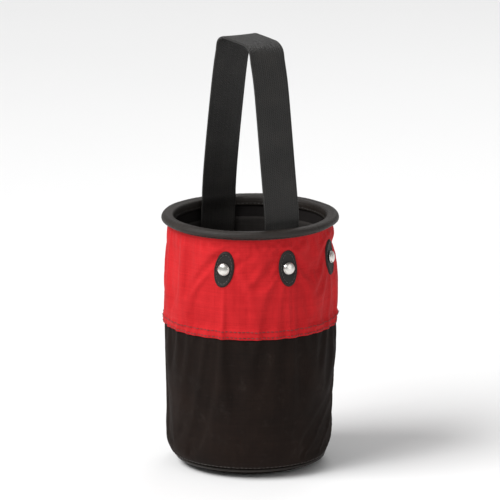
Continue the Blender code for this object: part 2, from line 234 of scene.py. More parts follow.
def resample(path, step):
    """Points along a polyline at even steps."""
    length = path_length(path)
    marks = np.linspace(0, length[-1], max(2, int(round(length[-1] / step)) + 1))
    return read_along(marks, length, path)


def spline(controls, count):
    """Catmull-Rom curve through 2D points, sampled evenly in parameter."""
    controls = np.asarray(controls, float)
    last = len(controls) - 1
    t = np.linspace(0, last, count)
    k = np.minimum(t.astype(int), last - 1)
    f = (t - k)[:, None]
    a, b, c, d = (controls[np.clip(k + step, 0, last)] for step in (-1, 0, 1, 2))
    return 0.5 * (2 * b + (c - a) * f + (2 * a - 5 * b + 4 * c - d) * f**2 + (3 * b - a - 3 * c + d) * f**3)


def new_mesh(name, points, faces, loop_uvs=None):
    mesh = bpy.data.meshes.new(name)
    mesh.from_pydata(points.tolist(), [], faces)
    if loop_uvs is not None:
        layer = mesh.uv_layers.new(name="cloth")
        layer.data.foreach_set("uv", np.asarray(loop_uvs, np.float32).ravel())
    mesh.shade_smooth()
    item = bpy.data.objects.new(name, mesh)
    scene.collection.objects.link(item)
    return item


def grid_object(name, points, across, along):
    """A sheet from a rows x columns grid. across and along are the cloth's own coordinates, in metres. The sheet
    wraps where they have one more row or column than the points."""
    rows, columns = points.shape[:2]
    i, j = np.meshgrid(*(np.arange(count - 1) for count in across.shape), indexing="ij")
    corners = [(i, j), (i, j + 1), (i + 1, j + 1), (i + 1, j)]
    faces = np.stack([(a % rows) * columns + (b % columns) for a, b in corners], -1)
    uv = np.stack([np.stack([across[a, b], along[a, b]], -1) for a, b in corners], axis=2)
    return new_mesh(name, points.reshape(-1, 3), faces.reshape(-1, 4).tolist(), uv.reshape(-1, 2))


def tape_coordinates(across, girth, columns=AROUND):
    """Cloth coordinates of a tape round the bucket, from its own width coordinates and its length."""
    return np.meshgrid(across, np.linspace(0, girth, columns + 1), indexing="ij")


def wrapped_sheet(name, points):
    """A cloth wrapped round the bucket. It is as wide as its mean girth, and as high as its first column is long."""
    girth = TAU * np.hypot(points[..., 0], points[..., 1]).mean()
    along, across = tape_coordinates(path_length(points[:, 0]), girth, points.shape[1])
    return grid_object(name, points, across, along)


def close_ring(grid):
    """A grid with its first column repeated after its last."""
    return np.concatenate([grid, grid[:, :1]], axis=1)


def disc_object(name, points, order):
    """A disc from rings of points, read in the order that faces it the right way. Its plan gives the coordinates."""
    plan = close_ring(points)[order]
    return grid_object(name, points[order], plan[..., 0], plan[..., 1])


def cord_object(name, radius, height, cord, swell=0.0, sides=16):
    """A round cord or wire in a ring about Z. cord is its own radius, and swell adds to it round the ring."""
    ring = turn_steps(sides)[:, None]
    points = polar(radius + (cord + swell) * np.cos(ring), ROUND, height + (cord + swell) * np.sin(ring))
    across, along = tape_coordinates(np.linspace(0, TAU * cord, sides + 1), TAU * radius)
    return grid_object(name, points, across, along)


def finish_piece(item, material, slot, *nodes, thickness=0.0, smooth=0):
    """Ride a piece on the bucket, with its material, in place of its CAD nodes. Its slot is not used. A sheet gets its
    thickness, inward, and smooth rounds its edges."""
    if thickness:
        solid = item.modifiers.new("thickness", "SOLIDIFY")
        solid.thickness, solid.offset = thickness, -1.0
    if smooth:
        surface = item.modifiers.new("soften", "SUBSURF")
        surface.levels = surface.render_levels = smooth
        surface.boundary_smooth = "PRESERVE_CORNERS"
    item.data.materials.append(material)
    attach(item, "bucket")
    if nodes:
        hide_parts(*nodes)


def stitches(name, lines, material, slot, pitch=4.2 * MM, share=0.74, radius=0.34 * MM):
    """Rows of sewing thread. Each line is (points, its normal or theirs): a stitch rises and dips into the cloth."""
    sides, rings = 6, 7
    t = np.linspace(0, 1, rings)  # along one stitch
    swell = radius * np.sqrt(np.clip(np.sin(math.pi * (0.08 + 0.84 * t)), 0, 1))[:, None, None]  # thin at its ends
    lift = (np.sin(math.pi * t) * 0.9 - 0.35) * radius  # its ends dip into the cloth
    turn = turn_steps(sides)[None, :, None]
    last = (rings - 1) * sides
    tube = []
    for a in range(last):
        b = a + 1 if (a + 1) % sides else a + 1 - sides
        tube.append((a, b, b + sides, a + sides))
    tube += [range(sides)[::-1], range(last, last + sides)]
    all_points, all_faces = [], []
    for points, normals in lines:
        length = path_length(points)
        count = max(1, int(length[-1] / pitch))
        step = length[-1] / count
        for start in np.arange(count) * step + step * (1 - share) / 2:
            marks = start + t * step * share
            centre = read_along(marks, length, points)
            normal = read_along(marks, length, np.broadcast_to(normals, points.shape))
            normal /= np.linalg.norm(normal, axis=1)[:, None]
            along = centre[-1] - centre[0]
            side = np.cross(normal, along / np.linalg.norm(along))[:, None]
            centre = (centre + normal * lift[:, None])[:, None]
            base = len(all_points) * rings * sides
            all_points.append(centre + side * (np.cos(turn) * swell) + normal[:, None] * (np.sin(turn) * swell))
            all_faces += [[base + corner for corner in face] for face in tube]
    item = new_mesh(name, np.concatenate(all_points).reshape(-1, 3), all_faces)
    finish_piece(item, material, slot)


def ring_line(radius, height, normal, wave=None):
    """A closed row of stitching round the bucket: (points, normals). normal is (outward, upward)."""
    theta = np.linspace(0, TAU, 720)
    offset = wave(theta) if wave else 0.0
    path = polar(radius + normal[0] * offset, theta, height + normal[1] * offset)
    return path, polar(normal[0], theta, normal[1])


# ---- materials

class Value:
    """A node's output. Arithmetic on it adds math nodes to its tree."""

    def __init__(self, nodes, socket):
        self.nodes, self.socket = nodes, socket

    def math(self, operation, *others):
        return self.nodes.math(operation, self, *others)

    def __rsub__(self, other):
        return self.nodes.math("SUBTRACT", other, self)

    __add__ = partialmethod(math, "ADD")
    __sub__ = partialmethod(math, "SUBTRACT")
    __mul__ = partialmethod(math, "MULTIPLY")
    __truediv__ = partialmethod(math, "DIVIDE")
    __pow__ = partialmethod(math, "POWER")
    __mod__ = partialmethod(math, "MODULO")
    __abs__ = partialmethod(math, "ABSOLUTE")


class Nodes:
    """Short calls for building a material's node tree."""

    def __init__(self, name):
        self.material = bpy.data.materials.new(name)
        self.material.use_nodes = True
        self.tree = self.material.node_tree

    def link(self, value, socket):
        if isinstance(value, Value):
            self.tree.links.new(value.socket, socket)
        else:
            socket.default_value = (*value, 1.0) if socket.type == "RGBA" else value

    def add(self, kind, inputs=(), output=0, **settings):
        """Add a node with its inputs, as (name or index, value) pairs, and give one of its outputs."""
        node = self.tree.nodes.new(kind)
        for key, value in settings.items():
            setattr(node, key, value)
        for key, value in inputs:
            self.link(value, node.inputs[key])
        return Value(self, node.outputs[output])

    def math(self, operation, *values):
        return self.add("ShaderNodeMath", enumerate(values), operation=operation)

    def mix(self, share, low, high):
        return self.add("ShaderNodeMix", ((0, share), (6, low), (7, high)), output=2, data_type="RGBA")

    def noise(self, vector, scale, detail=3.0, rough=0.55):
        inputs = (("Vector", vector), ("Scale", scale), ("Detail", detail), ("Roughness", rough))
        return self.add("ShaderNodeTexNoise", inputs, output="Fac")

    def streaks(self, vector, stretch, detail):
        """Noise drawn out along the axes whose stretch is small."""
        stretched = self.add("ShaderNodeMapping", (("Vector", vector), ("Scale", stretch)))
        return self.noise(stretched, 1.0, detail)

    def remap(self, *values):
        """A value moved from the range low, high to another, or to 0, 1."""
        return self.add("ShaderNodeMapRange", enumerate(values))

    def bump(self, height, distance, strength):
        return self.add("ShaderNodeBump", (("Strength", strength), ("Distance", distance), ("Height", height)))

    def uv(self):
        """The cloth's own coordinates, in metres: both together, across and along."""
        both = self.add("ShaderNodeUVMap", uv_map="cloth")
        across = self.add("ShaderNodeSeparateXYZ", ((0, both),))
        return both, across, Value(self, across.socket.node.outputs[1])

    def place(self):
        return self.add("ShaderNodeTexCoord", output="Object")

    def finish(self, colour, roughness, normal=None, metallic=0.0, sheen=0.0, sheen_tint=(1, 1, 1), specular=0.5):
        inputs = {
            "Base Color": colour, "Roughness": roughness, "Metallic": metallic, "Specular IOR Level": specular,
            "Sheen Weight": sheen, "Sheen Roughness": 0.45, "Sheen Tint": sheen_tint,
        }
        if normal:
            inputs["Normal"] = normal
        for name, value in inputs.items():
            self.link(value, self.tree.nodes["Principled BSDF"].inputs[name])
        return self.material


def arches(x):
    """A row of bumps, 0 to 1: one from each whole number to the next."""
    return abs((x * math.pi).math("SINE"))


def weave_height(n, u, v, thread):
    """Height of a plain weave, 0 to 1, and a tone that differs from thread to thread, 0 to 1."""
    x, y = u / thread, v / thread
    column, row = x.math("FLOOR"), y.math("FLOOR")
    way = abs((column + row) % 2.0)
    other = 1.0 - way
    bow_x, bow_y = arches(x), arches(y)
    warp = bow_x**0.7 * (bow_y * 0.65 + 0.35)
    weft = bow_y**0.7 * (bow_x * 0.65 + 0.35)
    each = column * way + (row + 0.5) * other
    return warp * way + weft * other, n.add("ShaderNodeTexWhiteNoise", (("W", each),), noise_dimensions="1D")


def canvas(name, dark, light, thread=0.95 * MM, relief=0.2 * MM, sheen=0.25, rough=0.8, dust=0.0, tint=None):
    """Woven cloth with uneven threads, soft fading, a little dust in the weave, and painted shade in the weave's
    hollows.
    """
    n = Nodes(name)
    place = n.place()
    both, u, v = n.uv()
    drift = (n.noise(place, 14.0, 2.0) - 0.5) * (5 * MM)
    height, each = weave_height(n, u + drift, v + drift, thread)
    slub = n.streaks(both, (45.0, 700.0, 1.0), 2.0)
    fibre = n.noise(place, 1800.0, 2.0, 0.7)
    broad = n.noise(place, 22.0, 4.0, 0.6)
    # height * 0.4 is painted shade: darker in the hollows between threads and lighter on their crowns. The other terms
    # are the cloth's own uneven tone.
    tone = height * 0.4 + each * 0.16 + slub * 0.22 + (broad - 0.5) * 0.7 + (fibre - 0.5) * 0.25
    colour = n.mix(n.remap(tone, 0.1, 0.85), dark, light)
    if dust:
        speck = n.remap(n.noise(place, 60.0, 6.0, 0.75), 0.56, 0.75, 0.0, dust)
        colour = n.mix(speck, colour, (0.22, 0.19, 0.17))
    normal = n.bump(height + fibre * 0.35, relief, 0.8)
    return n.finish(colour, rough, normal, sheen=sheen, sheen_tint=tint or light, specular=0.13)


def ribbed(name, dark, light, rib=1.6 * MM, pick=2.0 * MM, relief=0.3 * MM, sheen=0.2, rough=0.62, dust=0.0):
    """Tape or webbing: ribs along its length with slanted picks between them, a little faded with use, and painted
    shade between the ribs.
    """
    n = Nodes(name)
    place = n.place()
    _, u, v = n.uv()
    x = u / rib
    side = abs(x.math("FLOOR") % 2.0)
    slant = (x.math("FRACT") - 0.5) * (side * 2.0 - 1.0)
    y = v / pick + side * 0.5 + slant * 0.7
    height = arches(x) ** 0.5 * (arches(y) * 0.65 + 0.35)
    fibre = n.noise(place, 1500.0, 2.0, 0.7)
    # height * 0.6 is painted shade: darker in the grooves between ribs and picks and lighter on their crowns. The noise
    # terms are the tape's own uneven tone.
    tone = height * 0.6 + (n.noise(place, 30.0) - 0.5) * 0.6 + (fibre - 0.5) * 0.3
    colour = n.mix(n.remap(tone, 0.05, 0.75), dark, light)
    if dust:
        worn = n.remap(n.noise(place, 38.0, 5.0, 0.7), 0.48, 0.72, 0.0, dust) * height
        colour = n.mix(worn, colour, (0.16, 0.135, 0.115))
    normal = n.bump(height + fibre * 0.3, relief, 0.9)
    return n.finish(colour, rough, normal, sheen=sheen, sheen_tint=light, specular=0.35)


def thread_material(name, dark, light):
    n = Nodes(name)
    twist = n.noise(n.place(), 900.0, 2.0)
    colour = n.mix(n.remap(twist, 0.3, 0.7), dark, light)
    return n.finish(colour, 0.5, n.bump(twist, 0.1 * MM, 0.6), sheen=0.2, sheen_tint=light)


def nickel():
    n = Nodes("nickel")
    place = n.place()
    smear = n.noise(place, 160.0, 5.0, 0.6)
    scratch = n.streaks(place, (400.0, 400.0, 4000.0), 3.0)
    colour = n.mix(n.remap(smear, 0.4, 0.7), (0.74, 0.72, 0.68), (0.55, 0.53, 0.5))
    rough = n.remap(smear + scratch * 0.5, 0.5, 1.0, 0.16, 0.36)
    return n.finish(colour, rough, n.bump(scratch, 0.03 * MM, 0.5), metallic=1.0)


def moulded_sheet():
    n = Nodes("stiffener_sheet")
    place = n.place()
    grain = n.noise(place, 900.0)
    colour = n.mix(n.noise(place, 40.0), (0.025, 0.025, 0.026), (0.05, 0.05, 0.05))
    return n.finish(colour, n.remap(grain, 0.3, 0.7, 0.38, 0.55), n.bump(grain, 0.05 * MM, 0.5))


def drawn_wire():
    n = Nodes("drawn_wire")
    grain = n.noise(n.place(), 700.0)
    return n.finish(n.mix(grain, (0.3, 0.3, 0.31), (0.5, 0.5, 0.5)), n.remap(grain, 0.3, 0.7, 0.3, 0.5), metallic=1.0)


def pale_floor():
    n = Nodes("pale_floor")
    cloud = n.noise(n.place(), 1.5, 2.0)
    return n.finish(n.mix(cloud, (0.80, 0.80, 0.80), (0.83, 0.83, 0.83)), 0.85, specular=0.2)


RED = canvas(
    "red_canvas", (0.35, 0.005, 0.008), (0.71, 0.026, 0.03), thread=0.85 * MM, sheen=0.06, tint=(1.0, 0.45, 0.42)
)
CHARCOAL = canvas(
    "charcoal_canvas", (0.0034, 0.0018, 0.0013), (0.017, 0.0088, 0.006), sheen=0.015, dust=0.05,
    tint=(0.5, 0.34, 0.27),
)
TAPE = ribbed(
    "edge_tape", (0.004, 0.0029, 0.0022), (0.024, 0.0168, 0.0125), rib=1.3 * MM, pick=1.5 * MM, relief=0.2 * MM,
    sheen=0.04, rough=0.5, dust=0.1,
)
WEBBING = ribbed(
    "black_webbing", (0.003, 0.0029, 0.0027), (0.023, 0.0215, 0.0198), rib=2.1 * MM, pick=2.6 * MM,
    relief=0.45 * MM, sheen=0.03, rough=0.48, dust=0.08,
)
PATCH_WEBBING = ribbed(
    "patch_webbing", (0.0035, 0.003, 0.0028), (0.019, 0.016, 0.014), rib=1.3 * MM, pick=1.6 * MM,
    relief=0.2 * MM, sheen=0.03,
)
LINING_CLOTH = canvas(
    "black_lining", (0.006, 0.005, 0.005), (0.02, 0.017, 0.016), thread=0.7 * MM, relief=0.1 * MM, sheen=0.1
)
POCKET_CLOTH = canvas(
    "black_pocket_cloth", (0.011, 0.0098, 0.0092), (0.045, 0.04, 0.037), thread=0.9 * MM, relief=0.16 * MM
)
BLACK_THREAD = thread_material("black_thread", (0.012, 0.011, 0.01), (0.05, 0.046, 0.042))
GREY_THREAD = thread_material("grey_thread", (0.03, 0.026, 0.024), (0.12, 0.105, 0.095))
NICKEL = nickel()


# ---- draped cloth

# Where the fittings sit round the bucket, in degrees.
RIVETS = {"right": 0, "left": 180, "front_right": -45, "front_left": -135, "back_right": 45, "back_left": 135}
patch_low, patch_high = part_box("rivet_patch_right")
PATCH_HIGH = (patch_high.z - patch_low.z) / 2
PATCH_WIDE = patch_high.y  # both half sizes
HELD_MARGIN = 1 * MM  # the cloth is held this far round each patch
TAPE_HOLD = 12 * MM  # and this far each side of the back seam
DRAPE_COLUMNS = 168
DRAPE_SCALE = 10  # the cloth solver works better on a larger model
DRAPE_FRAMES = 26
DRAPE_GAIN = 1.85
DRAPE_INWARD, DRAPE_SOFT = -0.75 * MM, 0.3 * MM  # the sheet inside the wall stops the cloth's hollows
DRAPE_OUTWARD = 3.3 * MM  # the folds never stand further off
MEAN_SHARE = 0.85  # of each row's mean is taken off, so mostly folds stay

drape_z = wall_heights(PIPING_HEIGHT + 1.5 * MM, RIM_LIP + 5 * MM, 6, 54)


def angle_gap(theta, centre):
    return (theta - centre + math.pi) % TAU - math.pi


def fixed_share(theta, z):
    """How firmly its seams, the fittings and the tape at the back hold the cloth at a place."""
    held = np.exp(-(((RIM_LIP - z) / (4 * MM)) ** 2)) + (z > RIM_LIP)
    held += np.exp(-(((z - drape_z[0]) / (3 * MM)) ** 2))
    held += 0.5 * np.exp(-(((z - SEAM_HEIGHT) / (5 * MM)) ** 2))
    held += (np.abs(angle_gap(theta, math.pi / 2)) * wall_radius(z) < TAPE_HOLD)
    for degrees in RIVETS.values():
        across = angle_gap(theta, math.radians(degrees)) * wall_radius(z) / (PATCH_WIDE + HELD_MARGIN)
        held += (across**2 + ((z - RIVET_HEIGHT) / (PATCH_HIGH + HELD_MARGIN)) ** 2 < 1)
    return np.clip(held, 0, 1)


def drape():
    """Hang slightly oversized cloth on the wall, and read how far it stands off everywhere."""
    theta, z = np.broadcast_arrays(turn_steps(DRAPE_COLUMNS), drape_z[:, None])
    seed = 0.25 * MM * ripples(theta, z, 3, 14, (5, 30), 60)
    start = wall_skin(theta, z, np.abs(seed) * (1 - fixed_share(theta, z)))
    sheet = wrapped_sheet("drape", start * DRAPE_SCALE)
    form = wrapped_sheet("form", wall_skin(theta, z, -FORM_DEPTH) * DRAPE_SCALE)
    form.modifiers.new("collision", "COLLISION")
    form.collision.thickness_outer = 0.002
    form.collision.cloth_friction = 20
    group = sheet.vertex_groups.new(name="held")
    for index, share in enumerate(fixed_share(theta, z).ravel()):
        group.add([index], float(share), "REPLACE")
    cloth = sheet.modifiers.new("cloth", "CLOTH")
    settings = cloth.settings
    settings.quality = 5
    settings.mass = 0.3
    settings.tension_stiffness = settings.compression_stiffness = 30
    settings.shear_stiffness = 12
    settings.bending_stiffness = 1.2
    settings.vertex_group_mass = "held"
    settings.shrink_min = settings.shrink_max = -0.028
    cloth.collision_settings.distance_min = 0.003
    cloth.collision_settings.use_self_collision = False
    cloth.point_cache.frame_end = DRAPE_FRAMES
    for number in range(1, DRAPE_FRAMES + 1):
        scene.frame_set(number)
    hung = sheet.evaluated_get(bpy.context.evaluated_depsgraph_get())
    end = np.array([v.co[:] for v in hung.data.vertices]).reshape(start.shape) / DRAPE_SCALE
    scene.frame_set(1)
    for item in (sheet, form):
        bpy.data.meshes.remove(item.data)  # and the object with it
    skin = wall_skin(theta, z)
    off = ((end - skin) * (wall_skin(theta, z, 1.0) - skin)).sum(axis=-1)
    off -= off.mean(axis=1, keepdims=True) * MEAN_SHARE
    off = off * DRAPE_GAIN
    rest = DRAPE_INWARD + DRAPE_SOFT * np.logaddexp(0, (off - DRAPE_INWARD) / DRAPE_SOFT)
    return DRAPE_OUTWARD * np.tanh(rest / DRAPE_OUTWARD)


drape_off = drape()


def cubic_shares(f):
    """Shares of four neighbours in a smooth curve at a fraction f of the way between the middle two."""
    return 0.5 * np.stack([-f + 2 * f**2 - f**3, 2 - 5 * f**2 + 3 * f**3, f + 4 * f**2 - 3 * f**3, -(f**2) + f**3])


def draped(theta, z):
    """How far the hung cloth stands off the wall's skin at a place."""
    theta, z = np.broadcast_arrays(theta, z)
    column = (theta % TAU) / TAU * DRAPE_COLUMNS
    row = np.interp(z, drape_z, np.arange(len(drape_z)))
    c, r = np.floor(column).astype(int), np.floor(row).astype(int)
    share_c, share_r = cubic_shares(column - c), cubic_shares(row - r)
    total = np.zeros(theta.shape)
    for i in range(4):
        for j in range(4):
            near = drape_off[np.clip(r + i - 1, 0, len(drape_z) - 1), (c + j - 1) % DRAPE_COLUMNS]
            total += share_r[i] * share_c[j] * near
    return total


# ---- the wall

SEAM_POINTS = 900  # in a row of stitching that follows the relief
STITCH_LIFT = 0.12 * MM  # of the band's thread off its cloth
TURNED_UNDER = 1.35 * MM  # what the hem's second layer adds
HEM_ROWS = (HEM + 2.2 * MM, HEM + 8.0 * MM)  # its two rows of stitching
BODY_START = PIPING_ANGLE + 1.75 * MM / CORNER  # angles on the corner: the lower wall's edge,
BODY_SEAM = PIPING_ANGLE + 5.9 * MM / CORNER  # its stitching,
BASE_END = PIPING_ANGLE - 1.4 * MM / CORNER  # and the base's edge
WELT_OUT = 0.6 * MM  # the welt's middle stands off the skin


def band_relief(theta, z):
    """How far the coloured band stands off its skin line: the drape, a puff under the rim, puckers at its seams."""
    top, bottom = RIM_LIP - z, z - SEAM_HEIGHT
    puff = 0.9 * MM * np.exp(-(((top - 9 * MM) / (7 * MM)) ** 2))
    fine = 0.15 * MM * ripples(theta, z, 12, 12, (12, 34), 50) * ramp(top, 0, 10 * MM) * ramp(bottom, 0, 12 * MM)
    pucker = 0.3 * MM * ripples(theta, z, 13, 8, (55, 95), 10)
    seam = np.exp(-np.clip(top, 0, None) / (7 * MM)) + np.exp(-np.clip(bottom, 0, None) / (8 * MM))
    return draped(theta, z) + puff + fine + pucker * np.clip(seam, 0, 1) * ramp(top, -1 * MM, 4 * MM)


def body_relief(theta, z):
    """How far the lower wall stands off its skin line: the drape, a sag near the base, puckers at the welt."""
    low = z - PIPING_HEIGHT
    fine = 0.12 * MM * ripples(theta, z, 22, 10, (10, 30), 40)
    fine = fine * ramp(low, 0, 14 * MM) * ramp(SEAM_HEIGHT - z, 0, 10 * MM)
    pucker = 0.35 * MM * ripples(theta, z, 23, 8, (50, 80), 6)
    sag = 0.6 * MM * np.exp(-(((z - 30 * MM) / (16 * MM)) ** 2))
    near = np.exp(-np.clip(low, 0, None) / (6 * MM)) * ramp(low, -1 * MM, 3 * MM)
    return draped(theta, z) + sag + fine + pucker * near


def lapped_band(theta, z):
    """The band's relief with its turned hem, which lies on the lower wall's cloth."""
    relief = band_relief(theta, z)
    lap = 1 - ramp(z, HEM + 8 * MM, HEM + 12 * MM)
    relief = relief + np.clip(body_relief(theta, z) - relief, 0, None) * lap
    return relief + TURNED_UNDER * (1 - ramp(z, HEM + 8.5 * MM, HEM + 11 * MM))


def build_band():
    """The red band: its lower edge is turned under and laps over the lower wall."""
    z = np.linspace(HEM, RIM_LIP + 4 * MM, 64)[:, None]
    out = lapped_band(ROUND, z) * (1 - ramp(z, RIM_LIP - 2 * MM, RIM_LIP + 2 * MM))
    item = wrapped_sheet("band_cloth", wall_point(ROUND, z, out))
    finish_piece(item, RED, "canvas_red", "upper_band_panel", thickness=CLOTH, smooth=1)
    rows = []
    for height in HEM_ROWS:
        turn = np.linspace(0, TAU, SEAM_POINTS)
        level = np.full_like(turn, height)
        rows.append((wall_point(turn, level, lapped_band(turn, level) + STITCH_LIFT), wall_normal(turn, level)))
    stitches("band_hem_thread", rows, BLACK_THREAD, "canvas_red")


def corner_place(angle):
    """Radius and height of the skin on the corner, at an angle from straight down."""
    return BASE_FLAT + CORNER * np.sin(angle), CORNER * (1 - np.cos(angle))


def body_profile():
    """Radius, height and outward normal of the lower wall's skin, from the welt up to the band."""
    turn = np.linspace(BODY_START, math.pi / 2, 12)
    arc = np.stack(corner_place(turn), -1)
    arc_normal = np.stack([np.sin(turn), -np.cos(turn)], -1)
    z = np.linspace(CORNER, SEAM_HEIGHT + 4 * MM, 56)[1:]
    slope, length = wall_slope(z)
    wall = np.stack([wall_radius(z), z], -1)
    wall_out = np.stack([np.ones_like(z), -slope], -1) / length[:, None]
    return np.concatenate([arc, wall]), np.concatenate([arc_normal, wall_out])


def build_body():
    """The dark lower wall, down round the corner to the welt."""
    profile, normals = body_profile()
    out = body_relief(ROUND, profile[:, 1:] + 0 * ROUND)
    points = polar(profile[:, :1] + normals[:, :1] * out, ROUND, profile[:, 1:] + normals[:, 1:] * out)
    item = wrapped_sheet("body_cloth", points)
    finish_piece(item, CHARCOAL, "canvas_black", "lower_wall_panel", thickness=CLOTH, smooth=1)
    radius, height = corner_place(BODY_SEAM)
    turn = np.linspace(0, TAU, SEAM_POINTS)
    lift = body_relief(turn, np.full_like(turn, height))
    normal = (math.sin(BODY_SEAM), -math.cos(BODY_SEAM))
    line = ring_line(radius, height, normal, lambda t: np.interp(t, turn, lift))
    stitches("base_seam_thread", [line], GREY_THREAD, "canvas_black")


def build_base():
    """The bottom cup, a little crowned between its seam and the flat, and the welt round its edge."""
    flat = np.linspace(0.02 * MM, BASE_FLAT, 24)[:-1]
    corner_r, corner_z = corner_place(np.linspace(0, BASE_END, 12))
    r = np.concatenate([flat, corner_r])[::-1, None]
    z = np.concatenate([0 * flat, corner_z])[::-1, None]
    crown = 0.25 * MM * ripples(ROUND, r * 3, 31, 8, (2, 7), 20)
    crown = crown * ramp(r, 5 * MM, 40 * MM) * ramp(BASE_FLAT + 8 * MM - r, 0, 8 * MM)
    item = disc_object("base_cloth", polar(r, ROUND, z + np.abs(crown)), np.s_[:, ::-1])
    finish_piece(item, CHARCOAL, "canvas_black", "bottom_panel", thickness=CLOTH, smooth=1)
    low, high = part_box("bottom_piping")
    radius = BASE_FLAT + (CORNER + WELT_OUT) * math.sin(PIPING_ANGLE)
    height = CORNER - (CORNER + WELT_OUT) * math.cos(PIPING_ANGLE)
    swell = 0.12 * MM * ripples(ROUND, 0 * ROUND, 32, 8, (30, 70), 1)
    welt = cord_object("base_welt", radius, height, (high.z - low.z) / 2, swell)
    finish_piece(welt, TAPE, "binding", "bottom_piping")


# ---- the rim

LIP_RAISE = 2.8 * MM  # of the visible lip over the CAD's
BACK_TAPE_LIFT = 0.7 * MM  # over the cloth it lies on


def build_rim():
    """Tape folded over the wall's top and the wire hoop, with a stitched lip outside and inside."""
    wall_r = float(wall_radius(RIM_LIP))
    inner, lip, edge = wall_r - 5.5 * MM, wall_r + 1.4 * MM, RIM_LIP + LIP_RAISE
    offsets = {  # from the corners of the tape's section, in millimetres
        (lip, edge): [(0, -0.3), (0.2, 0.8), (1.2, 1.4)],
        (RIM_RADIUS, edge): [(-1.2, 2.1)],
        (RIM_RADIUS, RIM_TOP): [(-0.1, -5.2), (-0.2, -3.0), (-1.5, -1.0), (-4.0, 0)],
        (inner, RIM_TOP): [(5.0, -0.6), (2.0, -0.9), (0.5, -2.2), (0, -5)],
        (inner, edge): [(0, 2), (0.2, -1.5)],
    }
    controls = [(r + x * MM, z + y * MM) for (r, z), places in offsets.items() for x, y in places]
    profile = spline(controls, 44)
    columns = 2 * AROUND
    theta = turn_steps(columns)[None, :]
    tangent = path_tangent(profile)
    length = path_length(profile)[:, None]
    lumps = 0.3 * MM * ripples(theta, 0 * theta, 41, 10, (3, 14), 1)
    pucker = 0.16 * MM * ripples(theta, length, 42, 10, (60, 110), 60)
    out = lumps * ramp(length, 2 * MM, 8 * MM) + pucker * (0.35 + np.exp(-length / (4 * MM)))
    points = polar(profile[:, :1] + tangent[:, 1:] * out, theta, profile[:, 1:] - tangent[:, :1] * out)
    across, along = tape_coordinates(length[:, 0], TAU * RIM_RADIUS, columns)
    item = grid_object("rim_tape", points, across, along)
    finish_piece(item, TAPE, "binding", "rim_binding", thickness=RIM_TAPE)
    outside = ring_line(lip + 0.15 * MM, edge + 0.35 * MM, (1, 0))
    inside = ring_line(inner, edge + 0.5 * MM, (-1, 0))
    stitches("rim_thread", [outside, inside], BLACK_THREAD, "binding", pitch=4.0 * MM)


def build_seam_tape():
    """Tape over the closing seam at the back, with a row of stitching near each edge."""
    low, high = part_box("back_seam_tape")
    half = high.x
    x = np.linspace(-half, half, 23)[None, :]
    z = np.linspace(low.z, high.z, 110)[:, None]
    edge = 0.4 * MM * (1 - np.abs(x / half) ** 10)
    quilt = 0.1 * MM * ripples(x * 40, z, 51, 8, (1, 3), 90)
    theta = math.pi / 2 - x / wall_radius(z)
    step = ramp(z, HEM - 4 * MM, HEM - 1.5 * MM)
    relief = (1 - step) * body_relief(theta, z) + step * lapped_band(theta, np.maximum(z, HEM))
    out = np.clip(relief, 0, None) + BACK_TAPE_LIFT + edge + quilt
    points = wall_point(theta, np.maximum(z, CORNER) + 0 * x, out)
    drop = np.where(z < CORNER, wall_radius(CORNER) - inside_radius(np.minimum(z, CORNER), 0), 0)
    points[..., 0] -= np.cos(theta) * drop
    points[..., 1] -= np.sin(theta) * drop
    points[..., 2] = np.where(z < CORNER, z, points[..., 2])
    u, v = np.broadcast_arrays(x, z)
    item = grid_object("back_tape", points[:, ::-1], u[:, ::-1], v[:, ::-1])
    finish_piece(item, TAPE, "binding", "back_seam_tape", thickness=BACK_TAPE, smooth=1)
    rows = [(resample(points[:, column], 1 * MM), (0.0, 1.0, 0.0)) for column in (3, -4)]
    stitches("back_tape_thread", rows, BLACK_THREAD, "binding")


# ---- inside

POCKETS = 8
POCKET_START = POCKET_FLOOR + 4 * MM  # the pockets' fronts leave the backing here
MOUTH_DIP = 3.5 * MM
BELLY = 8.6 * MM  # how far a pocket stands off its backing at the mouth
AT_MOUTH = np.ones((1, 1))  # pocket_radius's rise
MOUTH_RADIUS = 72 * MM  # for the tape's own length


def build_lining():
    """The lining cloth on the wall and over the base board."""
    z = wall_heights(6 * MM, RIM_LIP + 5 * MM)[:, None]
    item = wrapped_sheet("lining_cloth", polar(inside_radius(z, LINING_DEPTH), ROUND, z))
    finish_piece(item, LINING_CLOTH, "lining", "inner_liner", thickness=LINING)
    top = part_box("base_liner")[1].z
    edge = float(inside_radius(top, BACKING_DEPTH))
    r = np.linspace(0.02 * MM, edge, 26)[:, None]
    crown = 0.6 * MM * ripples(ROUND, r * 2, 62, 8, (2, 5), 20) * ramp(edge - r, 0, 15 * MM)
    disc = disc_object("base_lining_cloth", polar(r, ROUND, top + np.abs(crown)), np.s_[::-1])
    finish_piece(disc, LINING_CLOTH, "lining", "base_liner", thickness=LINING)


def between_seams(theta):
    """0 at the seams between the pockets, 1 in the middle of each."""
    return np.abs(np.sin(theta * POCKETS / 2))


def pocket_mouth_height(theta):
    """Pocket mouths dip a little between their seams."""
    return POCKET_MOUTH - MOUTH_DIP * between_seams(theta) ** 1.5


def pocket_radius(theta, rise, extra=0.0):
    """Radius of the pockets' front: it bellies out from the backing between the seams, most of all at the mouth."""
    billow = between_seams(theta) ** 0.75
    backing = inside_radius(POCKET_START + rise * (POCKET_MOUTH - POCKET_START), BACKING_DEPTH + 1.2 * MM)
    depth = BELLY * np.sin(np.clip(rise, 0, 1) * math.pi / 2) ** 0.6
    slack = 0.5 * MM * ripples(theta, rise, 71, 9, (9, 30), 3) * np.sqrt(np.clip(rise, 0, 1)) * billow
    return backing - billow * depth - slack + extra


